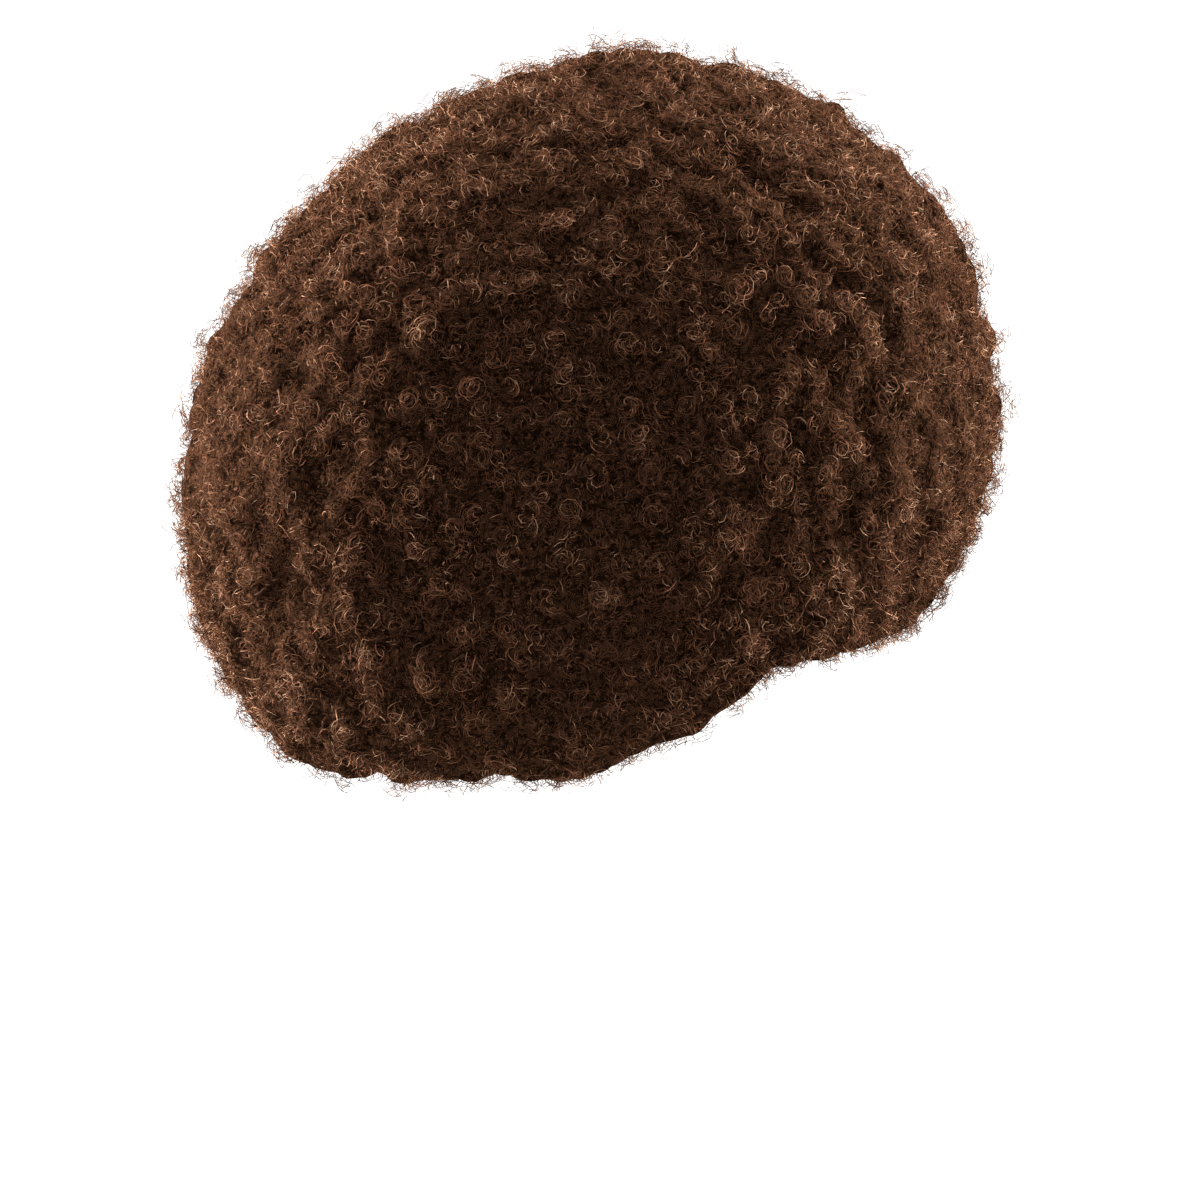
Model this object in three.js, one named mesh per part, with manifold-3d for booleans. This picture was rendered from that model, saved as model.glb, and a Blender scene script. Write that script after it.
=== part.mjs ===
// Curly afro wig: a close stretch-net cap, and a deep round mass of tightly curled hair sewn over it
// in sections of wefts. It is worn pulled down over the head, with the face and neck left open.
//
// Millimetres, +Z up. The face looks along -Y and +X is the wearer's left. The origin is the middle of
// the head opening, at the hat line: mid forehead, just over the ears and round the back of the skull.
// A bearing is measured from the face (0 degrees) towards the wearer's right, to 180 at the nape.
import * as THREE from "three";
import { ParametricGeometry } from "three/addons/geometries/ParametricGeometry.js";
import { mergeVertices } from "three/addons/utils/BufferGeometryUtils.js";
import Module from "manifold-3d";

const wasm = await Module();
wasm.setup();

// Driving dimensions

// The head that the cap fits: half width and length at the hat line, and how far it reaches up to the
// crown. Below the hat line it tapers to the neck as half an ellipsoid that would end at -neckDepth.
const HEAD = { halfWidth: 78, halfLength: 99, crownHeight: 107, neckDepth: 165 };
const HEAD_STEPS = { round: 36, down: 22 };

const CAP_WALL = 1.6;
const SEAT_GAP = 0.7; // between the cap and the hair sewn over it

// The round outer form of the hair: an ellipsoid that leans, high over the forehead and low at the nape.
const BALL = {
  centreY: 2,
  centreZ: 34,
  halfWidth: 184,
  longHalf: 213, // from low at the nape to high over the forehead
  shortHalf: 170,
  lean: 35, // degrees that the long axis rises towards the face
};
const HAIR_DETAIL = 17; // each edge of an icosahedron is split into one more than this

// The lower edge of the hair and of the cap, by bearing. The same on both sides of the head. A higher
// sharpness turns the ball under into the hair's edge more tightly.
const EDGES = [
  { bearing: 0, hairEdge: -14, sharpness: 8, capEdge: 12 },
  { bearing: 30, hairEdge: -24, sharpness: 8, capEdge: 6 },
  { bearing: 55, hairEdge: -30, sharpness: 8, capEdge: -16 },
  { bearing: 80, hairEdge: -57, sharpness: 20, capEdge: -26 },
  { bearing: 110, hairEdge: -68, sharpness: 20, capEdge: -24 },
  { bearing: 128, hairEdge: -99, sharpness: 24, capEdge: -42 },
  { bearing: 148, hairEdge: -117, sharpness: 24, capEdge: -58 },
  { bearing: 180, hairEdge: -114, sharpness: 24, capEdge: -70 },
];

// Locks: rounded tufts of curls that stand out of the mass and give it its lumpy outline.
const LOCK = {
  count: 235, // over the whole ball
  halfAcross: 28,
  depth: 7, // from a lock's tip down to the backing between locks
  widthSpread: 0.2, // share that the width varies by
  drop: 3, // the tips lie up to this far inside the ball
  wander: 0.06, // radians that a lock strays from its even place
};

// Hair sections, each a group of wefts. The crown lies inside an upright cone round the top of the head,
// and the nape lies inside a cone that opens downwards. The rest is parted by bearing.
const SECTION_GAP = 0.4;
const CROWN = { name: "crown_curls", apexZ: 0, halfAngle: 44 };
const NAPE = { name: "nape_curls", apexZ: -4, halfAngle: 76 };
const BACK = { name: "back_curls", from: 132, to: 228 };
const AROUND = [
  { name: "front_curls", from: -48, to: 48 },
  { name: "right_curls", from: 48, to: 132 },
  { name: "left_curls", from: 228, to: 312 },
];
const OUT_OF_REACH = 500;
const CONE_SIDES = 32;

// Small helpers

const radians = THREE.MathUtils.degToRad;

// A repeatable number from 0 to 1 for the n-th lock, different for each use of it.
function scatter(n, use) {
  const s = Math.sin(n * 12.9898 + use * 78.233) * 43758.5453;
  return s - Math.floor(s);
}

// A column of EDGES at any bearing, eased between rows.
function edgeAt(column, bearing) {
  const turned = Math.abs(THREE.MathUtils.euclideanModulo(bearing + 180, 360) - 180);
  const next = Math.max(1, EDGES.findIndex((row) => row.bearing >= turned));
  const [a, b] = [EDGES[next - 1], EDGES[next]];
  const share = THREE.MathUtils.smoothstep(turned, a.bearing, b.bearing);
  return THREE.MathUtils.lerp(a[column], b[column], share);
}

// A closed three.js geometry as a manifold solid, with its seams merged and its flat triangles dropped.
function solidOf(geometry) {
  const bare = new THREE.BufferGeometry().setAttribute("position", geometry.getAttribute("position"));
  if (geometry.index) bare.setIndex(geometry.index);
  const merged = mergeVertices(bare, 1e-3);
  const corners = merged.index.array;
  const kept = [];
  for (let i = 0; i < corners.length; i += 3) {
    const [a, b, c] = corners.slice(i, i + 3);
    if (a !== b && b !== c && c !== a) kept.push(a, b, c);
  }
  const vertProperties = new Float32Array(merged.getAttribute("position").array);
  return new wasm.Manifold(
    new wasm.Mesh({ numProp: 3, vertProperties, triVerts: new Uint32Array(kept) }),
  );
}

// A manifold solid as a three.js geometry.
function geometryOf(solid) {
  const { vertProperties, triVerts } = solid.getMesh();
  const geometry = new THREE.BufferGeometry();
  geometry.setAttribute("position", new THREE.BufferAttribute(new Float32Array(vertProperties), 3));
  geometry.setIndex(new THREE.BufferAttribute(new Uint32Array(triVerts), 1));
  geometry.computeVertexNormals();
  return geometry;
}

// Head and cap

// A point on the head, grown outwards by some millimetres. The turn is 0 at the crown, a quarter at the
// hat line and a half turn at the foot of the taper.
function headPoint(bearing, turn, grown, target) {
  const level = Math.cos(turn);
  const height = (level > 0 ? HEAD.crownHeight : HEAD.neckDepth) + grown;
  return target.set(
    -(HEAD.halfWidth + grown) * Math.sin(turn) * Math.sin(radians(bearing)),
    -(HEAD.halfLength + grown) * Math.sin(turn) * Math.cos(radians(bearing)),
    height * level,
  );
}

// The head, grown by some millimetres, as a solid.
function headSolid(grown) {
  const surface = (u, v, target) => headPoint(360 * u, Math.PI * v, grown, target);
  return solidOf(new ParametricGeometry(surface, HEAD_STEPS.round, HEAD_STEPS.down));
}

// Cap: an even wall over the skull, down to its edge. Its rows run down the outside and back up the
// inside, and lie on the head's own rows as far as the edge.
function capSolid() {
  const rows = 2 * HEAD_STEPS.down + 1;
  const surface = (u, v, target) => {
    const row = Math.round(v * rows);
    const inside = row > HEAD_STEPS.down;
    const bearing = 360 * u;
    const edge = edgeAt("capEdge", bearing);
    const edgeTurn = Math.acos(edge / (edge > 0 ? HEAD.crownHeight : HEAD.neckDepth));
    const turn = (Math.PI * (inside ? rows - row : row)) / HEAD_STEPS.down;
    return headPoint(bearing, Math.min(turn, edgeTurn), inside ? 0 : CAP_WALL, target);
  };
  return solidOf(new ParametricGeometry(surface, HEAD_STEPS.round, rows));
}

// Hair

const leanAcross = new THREE.Vector3(0, -Math.cos(radians(BALL.lean)), Math.sin(radians(BALL.lean)));
const leanUp = new THREE.Vector3(0, Math.sin(radians(BALL.lean)), Math.cos(radians(BALL.lean)));

// How far the ball of hair reaches from its centre, in a direction: the leaning ellipsoid, turned under
// smoothly where it meets the hair's lower edge.
function ballReach(direction) {
  const ellipsoid = 1 / Math.hypot(
    direction.x / BALL.halfWidth,
    direction.dot(leanAcross) / BALL.longHalf,
    direction.dot(leanUp) / BALL.shortHalf,
  );
  if (direction.z >= 0) return ellipsoid;
  const bearing = THREE.MathUtils.radToDeg(Math.atan2(-direction.x, -direction.y));
  const toEdge = (edgeAt("hairEdge", bearing) - BALL.centreZ) / direction.z;
  const sharpness = edgeAt("sharpness", bearing);
  return (ellipsoid ** -sharpness + toEdge ** -sharpness) ** (-1 / sharpness);
}

// The locks: their directions are even over the ball along a golden-angle spiral, and then stray a little.
function spreadLocks() {
  const goldenAngle = Math.PI * (3 - Math.sqrt(5));
  return Array.from({ length: LOCK.count }, (_, n) => {
    const level = 1 - (2 * n + 1) / LOCK.count;
    const across = Math.sqrt(1 - level * level);
    const even = new THREE.Vector3(
      across * Math.cos(n * goldenAngle),
      across * Math.sin(n * goldenAngle),
      level,
    );
    const stray = new THREE.Vector3(scatter(n, 1) - 0.5, scatter(n, 2) - 0.5, scatter(n, 3) - 0.5);
    return {
      direction: even.addScaledVector(stray, 2 * LOCK.wander).normalize(),
      halfAcross: LOCK.halfAcross * (1 + LOCK.widthSpread * (2 * scatter(n, 4) - 1)),
      drop: LOCK.drop * scatter(n, 5),
    };
  });
}

// How far the locks stand out of the backing in a direction: each is an ellipsoidal dome, and where domes
// run into each other the higher one shows.
function lockHeight(direction, reach, locks) {
  let highest = 0;
  for (const lock of locks) {
    const away = (reach * direction.angleTo(lock.direction)) / lock.halfAcross;
    if (away < 1) highest = Math.max(highest, LOCK.depth * Math.sqrt(1 - away * away) - lock.drop);
  }
  return highest;
}

// The whole mass of hair: backing and locks in one skin, hollowed for the head and cap.
function hairSolid() {
  const locks = spreadLocks();
  const ballCentre = new THREE.Vector3(0, BALL.centreY, BALL.centreZ);
  const skin = new THREE.IcosahedronGeometry(1, HAIR_DETAIL);
  const places = skin.getAttribute("position");
  const direction = new THREE.Vector3();
  for (let i = 0; i < places.count; i++) {
    direction.fromBufferAttribute(places, i).normalize();
    const reach = ballReach(direction);
    const radius = reach - LOCK.depth + lockHeight(direction, reach, locks);
    direction.multiplyScalar(radius).add(ballCentre);
    places.setXYZ(i, direction.x, direction.y, direction.z);
  }
  return solidOf(skin).subtract(headSolid(CAP_WALL + SEAT_GAP));
}

// A wedge of space between two bearings, drawn in by half the gap between sections.
function wedgeSolid({ from, to }) {
  const middle = radians((from + to) / 2);
  const spread = radians((to - from) / 2);
  const apexOut = SECTION_GAP / 2 / Math.sin(spread);
  const corner = (angle, length) =>
    new THREE.Vector2(
      -Math.sin(middle) * apexOut - Math.sin(angle) * length,
      -Math.cos(middle) * apexOut - Math.cos(angle) * length,
    );
  const outline = new THREE.Shape([
    corner(middle, 0),
    corner(middle + spread, OUT_OF_REACH),
    corner(middle, OUT_OF_REACH / Math.cos(spread)),
    corner(middle - spread, OUT_OF_REACH),
  ]);
  const wedge = new THREE.ExtrudeGeometry(outline, { depth: 2 * OUT_OF_REACH, bevelEnabled: false });
  return solidOf(wedge.translate(0, 0, -OUT_OF_REACH));
}

// A cone of space with its apex at a height on the Z axis, opening up (way 1) or down (way -1). A positive
// inset draws it in by that much, square to its side.
function coneSolid({ apexZ, halfAngle }, way, inset) {
  const height = OUT_OF_REACH / Math.tan(radians(halfAngle));
  const cone = new THREE.ConeGeometry(OUT_OF_REACH, height, CONE_SIDES);
  cone.translate(0, -height / 2, 0).rotateX((-way * Math.PI) / 2);
  return solidOf(cone.translate(0, 0, apexZ + (way * inset) / Math.sin(radians(halfAngle))));
}

// Assembly

const netMaterial = new THREE.MeshStandardMaterial({ color: 0x17110d, roughness: 0.85, metalness: 0 });
const hairMaterial = new THREE.MeshStandardMaterial({ color: 0x3a2418, roughness: 0.6, metalness: 0 });

const wig = new THREE.Group();

function addPiece(name, solid, material) {
  const piece = new THREE.Mesh(geometryOf(solid), material);
  piece.name = name;
  wig.add(piece);
}

addPiece("wig_cap", capSolid(), netMaterial);

const halfGap = SECTION_GAP / 2;
const hair = hairSolid();
addPiece(CROWN.name, hair.intersect(coneSolid(CROWN, 1, halfGap)), hairMaterial);

const belowCrown = hair.subtract(coneSolid(CROWN, 1, -halfGap));
for (const section of AROUND) {
  addPiece(section.name, belowCrown.intersect(wedgeSolid(section)), hairMaterial);
}

const behind = belowCrown.intersect(wedgeSolid(BACK));
addPiece(BACK.name, behind.subtract(coneSolid(NAPE, -1, -halfGap)), hairMaterial);
addPiece(NAPE.name, behind.intersect(coneSolid(NAPE, -1, halfGap)), hairMaterial);

export default wig;
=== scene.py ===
import bpy
import numpy as np
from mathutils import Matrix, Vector


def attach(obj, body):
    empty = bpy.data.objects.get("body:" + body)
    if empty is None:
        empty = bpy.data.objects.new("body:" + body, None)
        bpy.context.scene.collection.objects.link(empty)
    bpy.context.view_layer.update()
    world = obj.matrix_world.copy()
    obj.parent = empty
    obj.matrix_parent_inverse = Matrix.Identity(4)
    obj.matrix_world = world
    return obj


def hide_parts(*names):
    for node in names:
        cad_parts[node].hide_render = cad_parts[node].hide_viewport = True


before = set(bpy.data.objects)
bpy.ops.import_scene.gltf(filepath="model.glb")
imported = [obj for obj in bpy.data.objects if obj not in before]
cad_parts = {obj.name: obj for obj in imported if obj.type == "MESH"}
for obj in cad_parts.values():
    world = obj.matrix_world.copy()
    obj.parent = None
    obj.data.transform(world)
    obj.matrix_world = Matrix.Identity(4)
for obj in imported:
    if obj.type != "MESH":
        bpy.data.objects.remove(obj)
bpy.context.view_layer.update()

# Wig cap
# The close cap that the hair is sewn to: stretch net, knitted from black-brown polyester yarn and
# moulded to the skull. It is the wall of the head hollow and shows only from below and in front.

HEAD_HALF_WIDTH, HEAD_HALF_LENGTH = 0.078, 0.099
HEAD_CROWN_HEIGHT, HEAD_NECK_DEPTH = 0.107, 0.165
CAP_WALL = 0.0016
EDGE_BEARINGS = (0, 30, 55, 80, 110, 128, 148, 180)  # degrees from the face towards either ear
CAP_EDGE_HEIGHTS = np.array((12, 6, -16, -26, -24, -42, -58, -70)) / 1000
CAP_COLUMNS, CAP_ROWS = 96, 28
CAP_NET_MM = 2.2


def edge_at(values, bearing):
    """A value of the lower edge at a bearing: the table's values, eased between bearings by 3s^2 - 2s^3."""
    turned = np.abs((np.degrees(bearing) + 180) % 360 - 180)
    after = np.clip(np.searchsorted(EDGE_BEARINGS, turned), 1, len(EDGE_BEARINGS) - 1)
    before_at, after_at = np.take(EDGE_BEARINGS, after - 1), np.take(EDGE_BEARINGS, after)
    share = np.clip((turned - before_at) / (after_at - before_at), 0, 1)
    share = share * share * (3 - 2 * share)
    return values[after - 1] * (1 - share) + values[after] * share


def head_point(bearing, turn, grown):
    """Point on the head: half of a flattened ellipsoid above the hat line and of a deeper one below it,
    each half axis grown by the same amount. The turn is 0 at the crown and pi / 2 at the hat line."""
    level = np.cos(turn)
    height = np.where(level > 0, HEAD_CROWN_HEIGHT, HEAD_NECK_DEPTH) + grown
    return np.stack((
        -(HEAD_HALF_WIDTH + grown) * np.sin(turn) * np.sin(bearing),
        -(HEAD_HALF_LENGTH + grown) * np.sin(turn) * np.cos(bearing),
        height * level,
    ), axis=-1)


def cap_surface(columns, rows):
    """Rings from the crown down the outer wall to the edge, and back up the inner wall to the crown."""
    bearing = np.linspace(0, 2 * np.pi, columns, endpoint=False)
    edge = edge_at(CAP_EDGE_HEIGHTS, bearing)
    edge_turn = np.arccos(edge / np.where(edge > 0, HEAD_CROWN_HEIGHT, HEAD_NECK_DEPTH))
    down = np.linspace(0, 1, rows + 1)[:, None] * edge_turn
    outer = head_point(bearing, down, CAP_WALL)
    inner = head_point(bearing, down[::-1], 0.0)
    return np.concatenate((outer, inner))


def linear(hex_colour):
    """An sRGB hex colour as linear red, green, blue and alpha."""
    srgb = np.array([int(hex_colour[i:i + 2], 16) for i in (1, 3, 5)]) / 255
    parts = np.where(srgb <= 0.04045, srgb / 12.92, ((srgb + 0.055) / 1.055) ** 2.4)
    return (*parts, 1.0)


def node(tree, kind, settings=None, **inputs):
    """Adds a node, sets its properties, and sets or links its inputs. An input is named by its socket,
    with _ for a space, or by its place as i0, i1; a socket as the value links it."""
    made = tree.nodes.new(kind)
    for name, value in (settings or {}).items():
        setattr(made, name, value)
    for name, value in inputs.items():
        place = name[1:]
        socket = made.inputs[int(place) if name[0] == "i" and place.isdigit() else name.replace("_", " ")]
        if isinstance(value, bpy.types.NodeSocket):
            tree.links.new(value, socket)
        else:
            socket.default_value = value
    return made


def ramp(tree, share, *stops):
    """A colour ramp through (place, hex colour) stops."""
    made = node(tree, "ShaderNodeValToRGB", Fac=share)
    elements = made.color_ramp.elements
    while len(elements) < len(stops):
        elements.new(1.0)
    for element, (place, colour) in zip(elements, stops):
        element.position, element.color = place, linear(colour)
    return made.outputs["Color"]


def new_material(name):
    """An empty node material with a Principled surface: the material, its tree and the shader."""
    material = bpy.data.materials.new(name)
    material.use_nodes = True
    return material, material.node_tree, material.node_tree.nodes["Principled BSDF"]


def add_mesh(name, points, quads, triangles, material, smooth=True):
    """A mesh object from arrays of points, four-cornered faces and three-cornered faces."""
    mesh = bpy.data.meshes.new(name)
    corners = np.concatenate((quads.ravel(), triangles.ravel())).astype(np.int32)
    sizes = np.repeat((4, 3), (len(quads), len(triangles))).astype(np.int32)
    mesh.vertices.add(len(points))
    mesh.vertices.foreach_set("co", points.astype(np.float32).ravel())
    mesh.loops.add(len(corners))
    mesh.loops.foreach_set("vertex_index", corners)
    mesh.polygons.add(len(sizes))
    mesh.polygons.foreach_set("loop_start", np.cumsum(sizes, dtype=np.int32) - sizes)
    mesh.polygons.foreach_set("use_smooth", np.full(len(sizes), smooth))
    mesh.materials.append(material)
    mesh.update(calc_edges=True)
    piece = bpy.data.objects.new(name, mesh)
    bpy.context.scene.collection.objects.link(piece)
    return piece


def add_shell(name, rings, material):
    """A closed skin through rings of points, (ring, place round, xyz), whose first and last ring are
    each one point. The map runs round as U and from the first ring to the last as V."""
    count, columns = rings.shape[:2]
    points = np.concatenate((rings[0, :1], rings[1:-1].reshape(-1, 3), rings[-1, :1]))
    ring = 1 + np.arange(count - 2)[:, None] * columns
    place = np.arange(columns)
    onward = (place + 1) % columns
    upper, lower = ring[:-1], ring[1:]
    quads = np.stack((upper + place, upper + onward, lower + onward, lower + place), -1).reshape(-1, 4)
    last = np.full_like(place, len(points) - 1)
    first_fan = np.stack((np.zeros_like(place), 1 + onward, 1 + place), -1)
    last_fan = np.stack((last, ring[-1] + place, ring[-1] + onward), -1)
    piece = add_mesh(name, points, quads, np.concatenate((first_fan, last_fan)), material)

    row = np.arange(1, count - 1)[:, None] / (count - 1)
    around = np.stack((place, place + 1, place + 1, place), -1) / columns
    down = np.stack((row[:-1], row[:-1], row[1:], row[1:]), -1)
    quad_map = np.stack(np.broadcast_arrays(around[None], down), -1).reshape(-1, 2)
    first_map = np.stack(np.broadcast_arrays(
        np.stack((place + 0.5, place + 1, place), -1) / columns, np.array((0, row[0, 0], row[0, 0]))
    ), -1).reshape(-1, 2)
    last_map = np.stack(np.broadcast_arrays(
        np.stack((place + 0.5, place, place + 1), -1) / columns, np.array((1, row[-1, 0], row[-1, 0]))
    ), -1).reshape(-1, 2)
    layer = piece.data.uv_layers.new(name="OFBake")
    whole = np.concatenate((quad_map, first_map, last_map))
    layer.uv.foreach_set("vector", whole.astype(np.float32).ravel())
    return piece


# Polyester stretch net: a soft matt knit, with small even openings that look darker than the yarn.
net, tree, surface = new_material("polyester_stretch_net")
place = node(tree, "ShaderNodeTexCoord").outputs["Object"]
cells = node(
    tree, "ShaderNodeTexVoronoi", {"feature": "DISTANCE_TO_EDGE"},
    Vector=place, Scale=1000 / CAP_NET_MM, Randomness=0.6,
).outputs["Distance"]
yarn = ramp(tree, cells, (0.06, "#1d140f"), (0.2, "#080503"))
tree.links.new(yarn, surface.inputs["Base Color"])
relief = node(tree, "ShaderNodeMapRange", Value=cells, From_Min=0.02, From_Max=0.25, To_Min=1, To_Max=0)
bump = node(tree, "ShaderNodeBump", Strength=0.8, Distance=0.0005, Height=relief.outputs["Result"])
tree.links.new(bump.outputs["Normal"], surface.inputs["Normal"])
surface.inputs["Roughness"].default_value = 0.9
surface.inputs["Specular IOR Level"].default_value = 0.0

wig_cap = add_shell("wig_cap_net", cap_surface(CAP_COLUMNS, CAP_ROWS), net)
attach(wig_cap, "root")
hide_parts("wig_cap")

# Inner hair
# The dense inside of the curls, matted too closely for single strands to show: the round, lumpy mass
# of the locks, a few millimetres under their tips. It is steam-curled modacrylic fibre.

SEAT_GAP = 0.0007  # between the cap and the hair sewn over it
BALL_CENTRE = np.array((0.0, 0.002, 0.034))
BALL_HALF_WIDTH, BALL_LONG_HALF, BALL_SHORT_HALF = 0.184, 0.213, 0.170
BALL_LEAN = np.radians(35)  # the long axis rises towards the face
HAIR_EDGE_HEIGHTS = np.array((-14, -24, -30, -57, -68, -99, -117, -114)) / 1000
EDGE_SHARPNESS = np.array((8, 8, 8, 20, 20, 24, 24, 24))  # higher turns under more tightly
LOCK_COUNT, LOCK_HALF_ACROSS, LOCK_DEPTH = 235, 0.028, 0.007
LOCK_WIDTH_SPREAD, LOCK_DROP, LOCK_WANDER = 0.2, 0.003, 0.06
LOCK_SOFTENING, LOCK_MEAN = 0.2, 0.0045  # loose curls fill this share of the dips between locks
TUFT_COUNT, TUFT_HALF_ACROSS, TUFT_DEPTH, TUFT_DROP = 3000, 0.0088, 0.0056, 0.0056
TUFT_STAND = 0.9  # how much farther the few tallest tufts stand out, as a share of the depth
TUFT_LEVEL, TUFT_WANDER = 0.8, 0.035  # share of the depth that lies under the form's skin
INNER_DEPTH, INNER_RELIEF = 0.0042, 0.65  # under the curls' tips, and its share of the tufts' relief
UNDER_RISE = 0.0018  # nearer the tips below, from 30 to 50 degrees down, where curls hang close
INNER_COLUMNS, INNER_ROWS, INNER_SEAT_ROWS = 290, 136, 8

LEAN_ACROSS = np.array((0, -np.cos(BALL_LEAN), np.sin(BALL_LEAN)))
LEAN_UP = np.array((0, np.sin(BALL_LEAN), np.cos(BALL_LEAN)))


def ball_reach(way):
    """Distance from the ball's centre to its skin in a direction: a leaning ellipsoid, blended by a high
    power mean with the flat distance down to the hair's lower edge at that bearing."""
    ellipsoid = 1 / np.sqrt(
        (way[..., 0] / BALL_HALF_WIDTH) ** 2
        + (way @ LEAN_ACROSS / BALL_LONG_HALF) ** 2
        + (way @ LEAN_UP / BALL_SHORT_HALF) ** 2
    )
    bearing = np.arctan2(-way[..., 0], -way[..., 1])
    nearness = np.maximum(way[..., 2] / (edge_at(HAIR_EDGE_HEIGHTS, bearing) - BALL_CENTRE[2]), 0)
    sharpness = edge_at(EDGE_SHARPNESS, bearing)
    return (ellipsoid ** -sharpness + nearness ** sharpness) ** (-1 / sharpness)


def scatter(n, use):
    """A repeatable share from 0 to 1 for the n-th lock: the fraction of a large multiple of a sine."""
    return (np.sin(n * 12.9898 + use * 78.233) * 43758.5453) % 1


def spiral_ways(count):
    """Directions spread evenly over a ball along a golden-angle spiral from the top down."""
    n = np.arange(count)
    level = 1 - (2 * n + 1) / count
    angle = n * np.pi * (3 - np.sqrt(5))
    across = np.sqrt(1 - level * level)
    return np.stack((across * np.cos(angle), across * np.sin(angle), level), -1)


def unit(vectors):
    """Vectors scaled to a length of one."""
    return vectors / np.linalg.norm(vectors, axis=-1, keepdims=True)


def strayed_ways(count, wander):
    """The spiral's directions, each moved by up to the wander."""
    n = np.arange(count)
    stray = np.stack([scatter(n, use) - 0.5 for use in (1, 2, 3)], -1)
    return unit(spiral_ways(count) + 2 * wander * stray)


lock_ways = strayed_ways(LOCK_COUNT, LOCK_WANDER)
lock_index = np.arange(LOCK_COUNT)
lock_half = LOCK_HALF_ACROSS * (1 + LOCK_WIDTH_SPREAD * (2 * scatter(lock_index, 4) - 1))
lock_drop = LOCK_DROP * scatter(lock_index, 5)
tuft_ways = strayed_ways(TUFT_COUNT, TUFT_WANDER)
tuft_index = np.arange(TUFT_COUNT)
tuft_half = TUFT_HALF_ACROSS * (0.8 + 0.4 * scatter(tuft_index, 6))
tuft_drop = TUFT_DROP * scatter(tuft_index, 7) ** 2
tuft_depth = TUFT_DEPTH * (1 + TUFT_STAND * scatter(tuft_index, 8) ** 4)


def dome_height(way, reach, ways, half_across, depth, drop):
    """Height of the highest of many ellipsoidal domes: depth * sqrt(1 - a^2) - drop, where a is the arc to
    the dome's middle over its half width. Worked through in blocks to spare memory."""
    height = np.empty(len(way))
    for start in range(0, len(way), 4000):
        block = slice(start, start + 4000)
        arc = reach[block, None] * np.arccos(np.clip(way[block] @ ways.T, -1, 1))
        away = np.minimum(arc / half_across, 1)
        height[block] = np.maximum(depth * np.sqrt(1 - away * away) - drop, 0).max(1)
    return height


def curl_reach(way, relief=1.0):
    """Distance from the ball's centre to the tips of the curls: the ball, with its locks as domes on it
    and small tufts, with a share of their relief, as domes on those."""
    flat = way.reshape(-1, 3)
    reach = ball_reach(flat)
    locks = dome_height(flat, reach, lock_ways, lock_half, LOCK_DEPTH, lock_drop)
    tufts = dome_height(flat, reach, tuft_ways, tuft_half, tuft_depth, tuft_drop)
    locks += LOCK_SOFTENING * (LOCK_MEAN - locks)
    reach += locks - LOCK_DEPTH + relief * (tufts - TUFT_LEVEL * TUFT_DEPTH)
    return reach.reshape(way.shape[:-1])


def head_share(point, grown):
    """How far out a point lies from the head's middle, as a share of the head's own size grown a little."""
    height = np.where(point[..., 2] > 0, HEAD_CROWN_HEIGHT, HEAD_NECK_DEPTH) + grown
    return np.sqrt(
        (point[..., 0] / (HEAD_HALF_WIDTH + grown)) ** 2
        + (point[..., 1] / (HEAD_HALF_LENGTH + grown)) ** 2
        + (point[..., 2] / height) ** 2
    )


def turned_way(bearing, turn):
    """Direction from the ball's centre at a bearing, turned down from straight up."""
    return np.stack(np.broadcast_arrays(
        -np.sin(turn) * np.sin(bearing), -np.sin(turn) * np.cos(bearing), np.cos(turn)
    ), -1)


def inner_surface(columns, rows, seat_rows):
    """Rings from the top down the lumpy outside to the lip where it meets the head, found by halving,
    and back up over the cap to the crown."""
    bearing = np.linspace(0, 2 * np.pi, columns, endpoint=False)
    grown = CAP_WALL + SEAT_GAP

    def skin(turn):
        way = turned_way(bearing, turn)
        depth = INNER_DEPTH - UNDER_RISE * np.clip(-4 * way[..., 2] - 2, 0, 1)
        return BALL_CENTRE + (curl_reach(way, INNER_RELIEF) - depth)[..., None] * way

    high, low = np.full(columns, np.radians(75)), np.full(columns, np.radians(179))
    for _ in range(18):
        middle = (high + low) / 2
        outside = head_share(skin(middle), grown) > 1
        high, low = np.where(outside, middle, high), np.where(outside, low, middle)
    share = np.linspace(0, 1, rows + 1)[:, None]
    outer = skin((1 - (1 - share) ** 1.25) * high)
    lip = outer[-1]
    lip_bearing = np.arctan2(
        -lip[:, 0] / (HEAD_HALF_WIDTH + grown), -lip[:, 1] / (HEAD_HALF_LENGTH + grown)
    )
    height = np.where(lip[:, 2] > 0, HEAD_CROWN_HEIGHT, HEAD_NECK_DEPTH) + grown
    lip_turn = np.arccos(np.clip(lip[:, 2] / height, -1, 1))
    upward = np.linspace(1, 0, seat_rows + 1)[1:, None]
    seat = head_point(lip_bearing, upward * lip_turn, grown)
    return np.concatenate((outer, seat))


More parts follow.
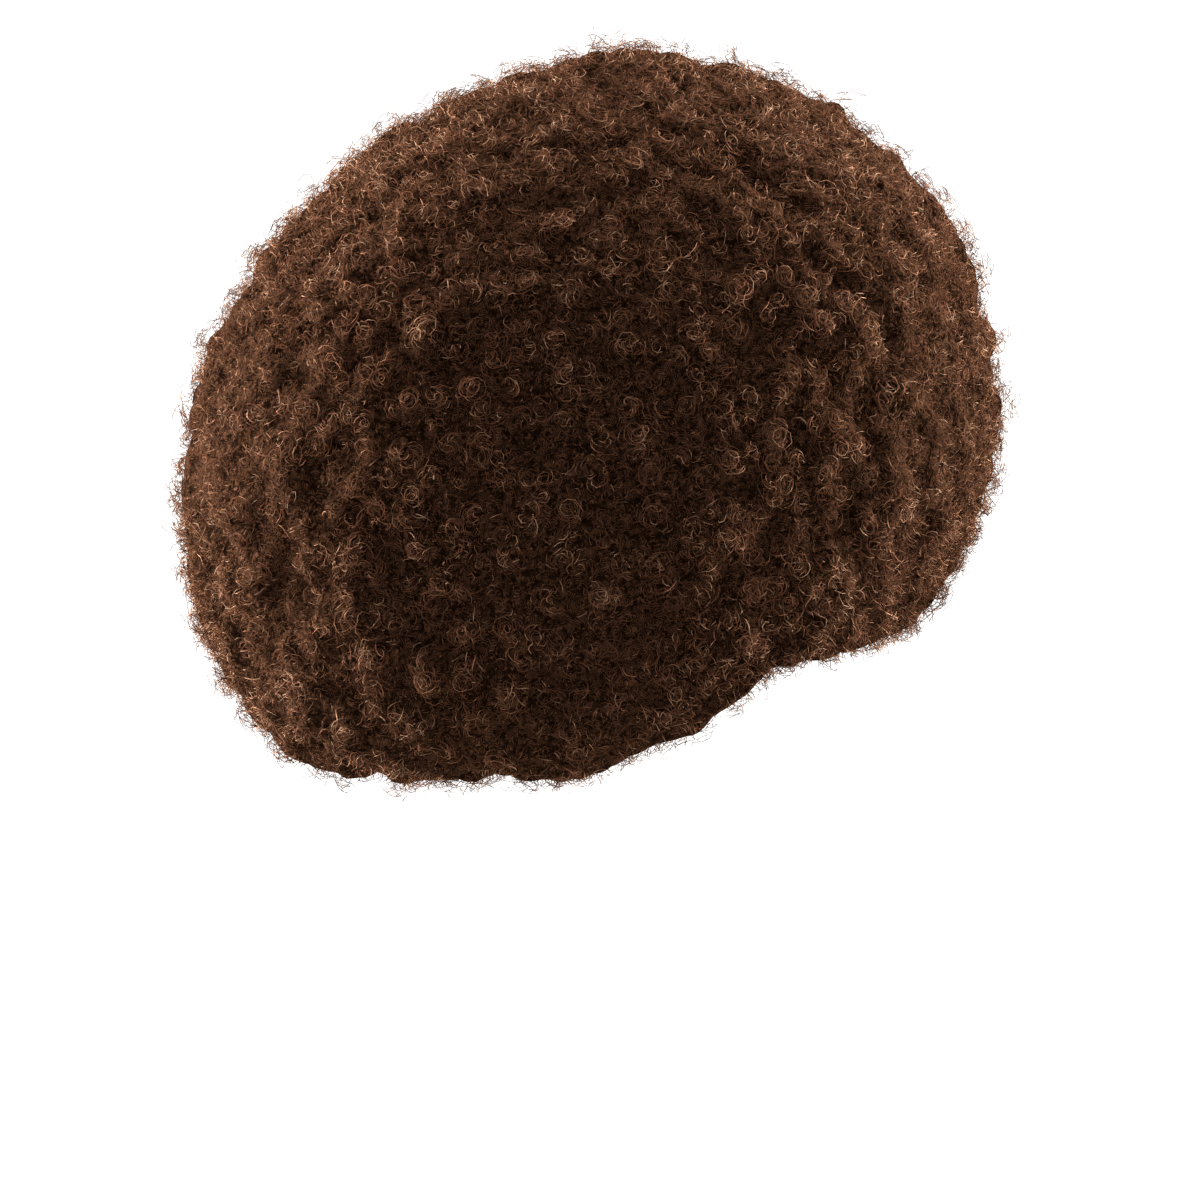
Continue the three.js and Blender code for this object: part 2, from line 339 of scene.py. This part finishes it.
# Matted modacrylic fibre: the fibre's own dark brown, made darker still as painted shade of the deep mass,
# where little light comes back out of it. Coils on end show as broken rings of fine lines, in layers that
# cross, and coils from the side as wavy streaks that run outward. A fibre is about 0.1 mm thick, and the
# lines are coarser than that so that they show.
CURL_ACROSS_MM, LINE_MM, BREAK_MM, STREAK_MM, STREAK_SWAY = 11.0, 0.7, 3.0, 1.2, 0.012
matted, tree, surface = new_material("matted_modacrylic_fibre")
place = node(tree, "ShaderNodeTexCoord").outputs["Object"]
sway = node(tree, "ShaderNodeTexNoise", Vector=place, Scale=1000 / 7, Detail=2.0).outputs["Color"]
lines = None
for shift in (0.0, 0.31, 0.64, 0.87):
    moved = node(
        tree, "ShaderNodeVectorMath", {"operation": "MULTIPLY_ADD"}, i0=sway, i1=(0.004,) * 3, i2=place
    ).outputs["Vector"]
    moved = node(
        tree, "ShaderNodeVectorMath", {"operation": "ADD"}, i0=moved, i1=(shift, 2 * shift, 3 * shift)
    ).outputs["Vector"]
    coils = node(tree, "ShaderNodeTexVoronoi", Vector=moved, Scale=1000 / CURL_ACROSS_MM)
    turned = node(
        tree, "ShaderNodeMath", {"operation": "MULTIPLY_ADD"}, i0=coils.outputs["Distance"],
        i1=2 * np.pi * CURL_ACROSS_MM / LINE_MM,
        i2=node(
            tree, "ShaderNodeMath", {"operation": "MULTIPLY"}, i0=coils.outputs["Color"], i1=6.0
        ).outputs[0],
    ).outputs[0]
    wave = node(tree, "ShaderNodeMath", {"operation": "SINE"}, i0=turned).outputs[0]
    shown = node(
        tree, "ShaderNodeTexNoise", Vector=moved, Scale=1000 / BREAK_MM, Detail=1.0
    ).outputs["Fac"]
    shown = node(
        tree, "ShaderNodeMapRange", Value=shown, From_Min=0.45, From_Max=0.62
    ).outputs["Result"]
    layer = node(
        tree, "ShaderNodeMapRange", Value=wave, From_Min=-0.2, From_Max=1.0, To_Min=0.0, To_Max=shown
    ).outputs["Result"]
    lines = layer if lines is None else node(
        tree, "ShaderNodeMath", {"operation": "MAXIMUM"}, i0=lines, i1=layer
    ).outputs[0]
middle = node(tree, "ShaderNodeVectorMath", {"operation": "SUBTRACT"}, i0=place, i1=BALL_CENTRE).outputs[0]
outward = node(tree, "ShaderNodeVectorMath", {"operation": "NORMALIZE"}, i0=middle).outputs[0]
outward = node(
    tree, "ShaderNodeVectorMath", {"operation": "MULTIPLY_ADD"}, i0=sway, i1=(STREAK_SWAY,) * 3, i2=outward
).outputs[0]
streaks = node(
    tree, "ShaderNodeTexNoise", Vector=outward, Scale=1000 * BALL_HALF_WIDTH / STREAK_MM, Detail=1.0
).outputs["Fac"]
streaks = node(
    tree, "ShaderNodeMapRange", Value=streaks, From_Min=0.5, From_Max=0.75, To_Max=0.9
).outputs["Result"]
lines = node(tree, "ShaderNodeMath", {"operation": "MAXIMUM"}, i0=lines, i1=streaks).outputs[0]
# The dark end of the ramp is painted shade of the deep mass as well as the fibre's own brown.
tone = ramp(tree, lines, (0.0, "#0a0402"), (0.5, "#1b1009"), (1.0, "#442c1f"))
tree.links.new(tone, surface.inputs["Base Color"])
bump = node(tree, "ShaderNodeBump", Strength=0.7, Distance=0.0008, Height=lines)
tree.links.new(bump.outputs["Normal"], surface.inputs["Normal"])
surface.inputs["Roughness"].default_value = 0.8
surface.inputs["Specular IOR Level"].default_value = 0.0

HAIR_NODES = ("crown_curls", "front_curls", "right_curls", "left_curls", "back_curls", "nape_curls")
inner_hair = add_shell(
    "inner_hair", inner_surface(INNER_COLUMNS, INNER_ROWS, INNER_SEAT_ROWS), matted
)
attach(inner_hair, "root")

# Curls
# The loose ends of the wefts: strands of the same fibre, steamed into tight coils that stand out of the
# mass in small groups, with bent strands between them and fine frizz over all. Each section of wefts is
# one piece.

rng = np.random.default_rng(7)
CROWN_HALF_ANGLE = np.radians(44)
NAPE_APEX, NAPE_HALF_ANGLE = -0.004, np.radians(76)
SIDE_FROM, SIDE_TO = 48, 132  # bearings, in degrees, between front, side and back
HANG = 0.002  # how far curls on the underside may hang out of the form
LOCK_FAN = 2.0  # how strongly curls lean away from the middle of their lock
AXIS_STRAY, TOP_STRAY = 0.25, 0.2  # how far single strands stray from their curl's axis and middle
PAINTED_DIP_SHADE = 0.3  # painted shade: how much darker strands are in the dips between locks, and between tufts
PAINTED_OUTER_SHADE = 60.0  # painted shade: how much darker strands are for each metre that they stand lower in their curl
TINTS = 8


def curl_seats(way):
    """The curls in these directions: the direction, tip point and way out of the form, which is found
    from the slopes along two small steps. Those over the face and neck are left out."""
    tip = BALL_CENTRE + curl_reach(way)[:, None] * way
    aside = unit(np.cross(way, (0.3, 0.9, 0.2)))
    along = np.cross(way, aside)
    smooth = BALL_CENTRE + ball_reach(way)[:, None] * way

    def step(direction):
        moved = unit(way + 0.03 * direction)
        return BALL_CENTRE + ball_reach(moved)[:, None] * moved - smooth

    out = unit(np.cross(step(aside), step(along)))
    out *= np.sign((out * way).sum(1, keepdims=True))
    clear = head_share(tip, 0.006) > 1
    return way[clear], tip[clear], out[clear]


def section_of(tip):
    """Index into HAIR_NODES: inside the crown's cone, else by bearing, and at the back below the nape's
    cone or above it."""
    crown = np.arctan2(np.hypot(tip[:, 0], tip[:, 1]), tip[:, 2]) < CROWN_HALF_ANGLE
    bearing = np.degrees(np.arctan2(-tip[:, 0], -tip[:, 1]))
    nape = np.arctan2(np.hypot(tip[:, 0], tip[:, 1]), NAPE_APEX - tip[:, 2]) < NAPE_HALF_ANGLE
    return np.select(
        (crown, np.abs(bearing) < SIDE_FROM, np.abs(bearing) > SIDE_TO, bearing > 0),
        (0, 1, np.where(nape, 5, 4), 2), 3,
    )


def coil_paths(tip, axis, radius, length, turns, steps):
    """Paths of helices: they climb along the axis to the tip while turning round it, and their radius
    closes in by 30 % towards the tip. Gives the paths and, at each place, the way out from the axis."""
    side = unit(np.cross(axis, rng.normal(size=axis.shape)))
    other = np.cross(axis, side)
    share = np.linspace(0, 1, steps + 1)[None, :, None]
    angle = 2 * np.pi * turns[:, None, None] * share
    spoke = np.cos(angle) * side[:, None] + np.sin(angle) * other[:, None]
    width = radius[:, None, None] * (1 - 0.3 * share)
    climb = (share - 1) * length[:, None, None]
    return tip[:, None] + climb * axis[:, None] + width * spoke, spoke


def strand_tubes(paths, spoke, width):
    """Three-sided tubes along many paths at once, as wide at each inner place as given and drawn to a point
    at both ends. Gives points, sides and ends."""
    count, places = paths.shape[:2]
    tangent = unit(np.gradient(paths, axis=1))
    broad = unit(spoke - (spoke * tangent).sum(-1, keepdims=True) * tangent)
    face = np.cross(tangent, broad)
    around = 2 * np.pi * np.arange(3)[:, None] / 3
    tube = paths[:, :, None] + width[:, :, None, None] / 2 * (
        np.cos(around) * broad[:, :, None] + np.sin(around) * face[:, :, None]
    )
    points = np.concatenate((paths[:, :1], tube[:, 1:-1].reshape(count, -1, 3), paths[:, -1:]), 1)
    first = np.arange(count)[:, None] * points.shape[1]
    last = first + points.shape[1] - 1
    ring = (first + 1 + 3 * np.arange(places - 3))[:, :, None]
    corner = np.arange(3)
    onward = (corner + 1) % 3
    sides = np.stack((ring + corner, ring + onward, ring + 3 + onward, ring + 3 + corner), -1)
    root = np.stack(np.broadcast_arrays(first, first + 1 + onward, first + 1 + corner), -1)
    end = np.stack(np.broadcast_arrays(last, last - 3 + corner, last - 3 + onward), -1)
    return points.reshape(-1, 3), sides.reshape(-1, 4), np.concatenate((root, end)).reshape(-1, 3)


def off_middle(way, ways):
    """How far each direction lies from the nearest of some others. Worked through in blocks to spare
    memory."""
    blocks = np.array_split(way, 1 + len(way) // 4000)
    return way - np.concatenate([ways[np.argmax(block @ ways.T, 1)] for block in blocks])


def curl_family(
    ways, strands, steps, radius, spread, dome, length, turns, stand, straggle, burst, thickness, taper,
    lightness
):
    """A family of curls, one in each direction, each of several strands round nearly one axis. A pair of
    numbers is the range that a size is drawn from, and spread is the range of a strand's radius as a share
    of its curl's. Dome is how much lower the outer strands of a curl stand. Straggle tips an axis at
    random, and burst tips it away from the middle of its tuft. Taper is the tip's thickness as a share of
    the root's. Strands in the dips between locks and tufts, and the lower outer strands of each curl, are
    darker than those on top, as painted shade; few strands are light."""
    way, tip, out = curl_seats(ways)
    count = len(way)
    axis = unit(
        out + LOCK_FAN * off_middle(way, lock_ways) + burst * off_middle(way, tuft_ways)
        + rng.normal(0, straggle, way.shape)
    )
    reach = ball_reach(way)
    # Painted shade: strands in the dips between locks and between tufts are darker than those on their tops.
    lock_top = dome_height(way, reach, lock_ways, lock_half, 1.0, 0.0)
    tuft_top = dome_height(way, reach, tuft_ways, tuft_half, 1.0, 0.0)
    shade = (1 - PAINTED_DIP_SHADE * (1 - lock_top)) * (1 - PAINTED_DIP_SHADE * (1 - tuft_top))
    shade *= rng.uniform(0.75, 1.0, count)
    size = rng.uniform(*radius, count)
    hang = HANG * np.maximum(-out[:, 2], 0) * rng.uniform(0, 1, count)
    hand = rng.choice((-1, 1), count)
    tip[:, 2] -= hang
    section = section_of(tip)
    section, tip, out, axis, shade, size, hang, hand = (
        np.repeat(values, strands, 0) for values in (section, tip, out, axis, shade, size, hang, hand)
    )
    count = len(tip)
    axis = unit(axis + rng.normal(0, AXIS_STRAY, (count, 3)))
    apart = rng.uniform(*spread, count)
    top = tip + out * (rng.uniform(*stand, count) - dome * apart ** 2)[:, None]
    top += rng.normal(0, TOP_STRAY, (count, 3)) * size[:, None]
    paths, spoke = coil_paths(
        top, axis, size * apart, rng.uniform(*length, count) + hang, hand * rng.uniform(*turns, count), steps
    )
    dark, light = lightness
    shade *= dark + (light - dark) * rng.uniform(0, 1, count) ** 1.3
    # Painted shade: the outer strands of a curl, which stand lower, are darker.
    shade *= 1 - PAINTED_OUTER_SHADE * dome * apart ** 2
    width = rng.uniform(*thickness, count)[:, None] * np.linspace(1, taper, steps + 1)
    return section, paths, spoke, width, shade


# Coils, seen on end as rosettes of arcs, single rings, wisps of fibres that cling together to a point, and
# loose frizz. More wisps hang low round the edge. Sizes in metres.
WISP_COUNT, FRIZZ_COUNT = 5500, 7000
wisp_ways = strayed_ways(WISP_COUNT, 0.015)
low_ways = strayed_ways(5 * WISP_COUNT, 0.01)
low_ways = low_ways[(low_ways[:, 2] < -0.15) & (low_ways[:, 2] > -0.6)]
families = (
    curl_family(
        tuft_ways, 12, 4, radius=(0.0046, 0.0068), spread=(0.25, 1.2), dome=0.0022, length=(0.001, 0.006),
        turns=(0.25, 0.6), stand=(-0.0010, 0.0020), straggle=0.25, burst=0.0,
        thickness=(0.00022, 0.00036), taper=0.9, lightness=(0.55, 1.05),
    ),
    curl_family(
        tuft_ways[::4], 2, 8, radius=(0.0042, 0.0060), spread=(0.8, 1.1), dome=0.0, length=(0.001, 0.003),
        turns=(0.7, 1.2), stand=(-0.0006, 0.0014), straggle=0.2, burst=0.0,
        thickness=(0.00020, 0.00030), taper=0.9, lightness=(0.55, 0.95),
    ),
    # Wisps and frizz are given lighter tones than the coils: painted light, for the glow through fine fibres
    # at the edge, where they make up most of what shows.
    curl_family(
        np.concatenate((wisp_ways, low_ways)), 1, 4, radius=(0.0010, 0.0028), spread=(1.0, 1.0), dome=0.0,
        length=(0.006, 0.010), turns=(0.3, 0.8), stand=(-0.0014, 0.0016), straggle=0.25, burst=14.0,
        thickness=(0.0004, 0.0007), taper=0.4, lightness=(0.6, 1.15),
    ),
    curl_family(
        strayed_ways(FRIZZ_COUNT, 0.02), 1, 4, radius=(0.0008, 0.0024), spread=(1.0, 1.0), dome=0.0,
        length=(0.005, 0.009), turns=(0.4, 0.8), stand=(-0.0004, 0.0028), straggle=0.35, burst=10.0,
        thickness=(0.00022, 0.00034), taper=0.7, lightness=(0.7, 1.2),
    ),
)

# Curled modacrylic fibre: smooth round filament with a soft lustre. It is darker at the root, as painted
# shade deep in the mass, and lighter and redder at the tip, and its shade drifts a little along its length.
fibre, tree, surface = new_material("curled_modacrylic_fibre")
tone, tint = (
    node(tree, "ShaderNodeAttribute", {"attribute_name": name}).outputs["Fac"] for name in ("tone", "tint")
)
drift = node(
    tree, "ShaderNodeTexNoise",
    Vector=node(tree, "ShaderNodeCombineXYZ", X=tone, Y=tint).outputs[0], Scale=9.0, Detail=1.0,
).outputs["Fac"]
drift = node(
    tree, "ShaderNodeMapRange", Value=drift, From_Min=0.3, From_Max=0.7, To_Min=0.8, To_Max=1.1
).outputs["Result"]
shade = node(tree, "ShaderNodeMath", {"operation": "MULTIPLY"}, i0=tone, i1=drift).outputs[0]
ash = ramp(tree, shade, (0.0, "#0d0603"), (0.5, "#4b3324"), (1.0, "#b29377"))
russet = ramp(tree, shade, (0.0, "#0e0603"), (0.5, "#503122"), (1.0, "#b68567"))
colour = node(tree, "ShaderNodeMix", {"data_type": "RGBA"}, i0=tint, i6=ash, i7=russet).outputs[2]
tree.links.new(colour, surface.inputs["Base Color"])
surface.inputs["Roughness"].default_value = 0.45
surface.inputs["Specular IOR Level"].default_value = 0.0


def add_curls(name, section):
    """One section's strands as a piece. Two numbers at each point give its colour: a tone that rises along
    the strand, and a tint that differs from strand to strand. The map sets out the same two as a
    chart, with a column for each tint, and each strand's width crosses its column."""
    points, sides, ends, across, tones, tints = [], [], [], [], [], []
    start = 0
    for of_section, paths, spoke, width, lightness in families:
        mine = of_section == section
        places = paths.shape[1]
        at_place = np.r_[1, np.full(places - 2, 3), 1]
        shape = (mine.sum(), at_place.sum())
        tube, side, end = strand_tubes(paths[mine], spoke[mine], width[mine])
        points.append(tube)
        sides.append(side + start)
        ends.append(end + start)
        start += len(tube)
        # Painted shade: each strand's tone is half its lightness at the root, deep in the mass, and rises to
        # all of it at the tip.
        rise = np.minimum(np.linspace(0.5, 1.0, places).repeat(at_place) * lightness[mine][:, None], 1)
        column = rng.integers(0, TINTS, shape[0])[:, None]
        breadth = np.r_[0.5, np.tile((0.0, 0.5, 1.0), places - 2), 0.5]
        for store, values in ((across, breadth), (tones, rise), (tints, column)):
            store.append(np.broadcast_to(values, shape).ravel())
    piece = add_mesh(name, np.concatenate(points), np.concatenate(sides), np.concatenate(ends), fibre)
    mesh = piece.data
    across, tones, tints = (np.concatenate(values) for values in (across, tones, tints))
    for attribute, values in (("tone", tones), ("tint", tints / (TINTS - 1))):
        layer = mesh.attributes.new(attribute, "FLOAT", "POINT")
        layer.data.foreach_set("value", values.astype(np.float32))
    corner = np.empty(len(mesh.loops), np.int32)
    mesh.loops.foreach_get("vertex_index", corner)
    chart = np.stack(((tints + 0.1 + 0.8 * across) / TINTS, 0.02 + 0.96 * tones), -1)[corner]
    mesh.uv_layers.new(name="OFBake").uv.foreach_set("vector", chart.astype(np.float32).ravel())
    return piece


for section, hair_node in enumerate(HAIR_NODES):
    strands = add_curls(hair_node + "_strands", section)
    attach(strands, "root")
    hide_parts(hair_node)

# Studio
# A wide pale floor far below, even white light all round, and soft lamps at the sides and above, so
# that the curls are lighter at the edge and stay dark in the middle.

VIEW_AZIMUTH = np.radians(215)
VIEW_HEIGHT, VIEW_DISTANCE, FRAME_WIDTH = -0.034, 3.0, 0.54
VIEW_ASIDE = 0.003  # the picture's middle lies this far to the right of the origin
SENSOR = 36.0
towards = Vector((np.sin(VIEW_AZIMUTH), -np.cos(VIEW_AZIMUTH), 0))
rightwards = Vector((np.cos(VIEW_AZIMUTH), np.sin(VIEW_AZIMUTH), 0))

camera_data = bpy.data.cameras.new("camera")
camera_data.sensor_width = SENSOR
camera_data.lens = SENSOR * VIEW_DISTANCE / FRAME_WIDTH
camera_data.clip_end = 100
camera = bpy.data.objects.new("camera", camera_data)
camera.location = towards * VIEW_DISTANCE + rightwards * VIEW_ASIDE + Vector((0, 0, VIEW_HEIGHT))
camera.rotation_euler = (-towards).to_track_quat("-Z", "Y").to_euler()
bpy.context.scene.collection.objects.link(camera)
bpy.context.scene.camera = camera

FLOOR_HEIGHT, FLOOR_HALF = -2.0, 40.0
paper, tree, surface = new_material("pale_backdrop_paper")
grain = node(
    tree, "ShaderNodeTexNoise", Vector=node(tree, "ShaderNodeTexCoord").outputs["Object"], Scale=3.0
).outputs["Fac"]
tree.links.new(ramp(tree, grain, (0.3, "#ecebe9"), (0.7, "#efeeec")), surface.inputs["Base Color"])
surface.inputs["Roughness"].default_value = 0.9
square = np.array(((-1, -1, 0), (1, -1, 0), (1, 1, 0), (-1, 1, 0))) * FLOOR_HALF
floor = add_mesh(
    "floor", square + (0, 0, FLOOR_HEIGHT), np.array([[0, 1, 2, 3]]), np.empty((0, 3), int), paper, False
)

world = bpy.data.worlds.new("studio")
world.use_nodes = True
world.node_tree.nodes["Background"].inputs["Color"].default_value = (1, 1, 1, 1)
world.node_tree.nodes["Background"].inputs["Strength"].default_value = 1.4
bpy.context.scene.world = world
bpy.context.scene.view_settings.view_transform = "Standard"

LAMP_SPREAD = np.radians(70)  # grids in front of the lamps keep their light off the floor


def add_lamp(name, bearing, height, distance, size, power):
    """A square soft lamp that faces the wig, at a bearing in degrees to the right of the camera."""
    lamp_data = bpy.data.lights.new(name, "AREA")
    lamp_data.shape, lamp_data.size, lamp_data.energy = "SQUARE", size, power
    lamp_data.spread = LAMP_SPREAD
    lamp = bpy.data.objects.new(name, lamp_data)
    angle = np.radians(bearing)
    lamp.location = (towards * np.cos(angle) + rightwards * np.sin(angle)) * distance + Vector((0, 0, height))
    lamp.rotation_euler = (Vector((0, 0, 0.05)) - lamp.location).to_track_quat("-Z", "Y").to_euler()
    bpy.context.scene.collection.objects.link(lamp)


add_lamp("left_lamp", -115, 0.05, 1.7, 1.0, 84)
add_lamp("right_lamp", 115, 0.3, 1.7, 1.0, 63)
add_lamp("top_lamp", 180, 1.8, 1.0, 1.2, 56)
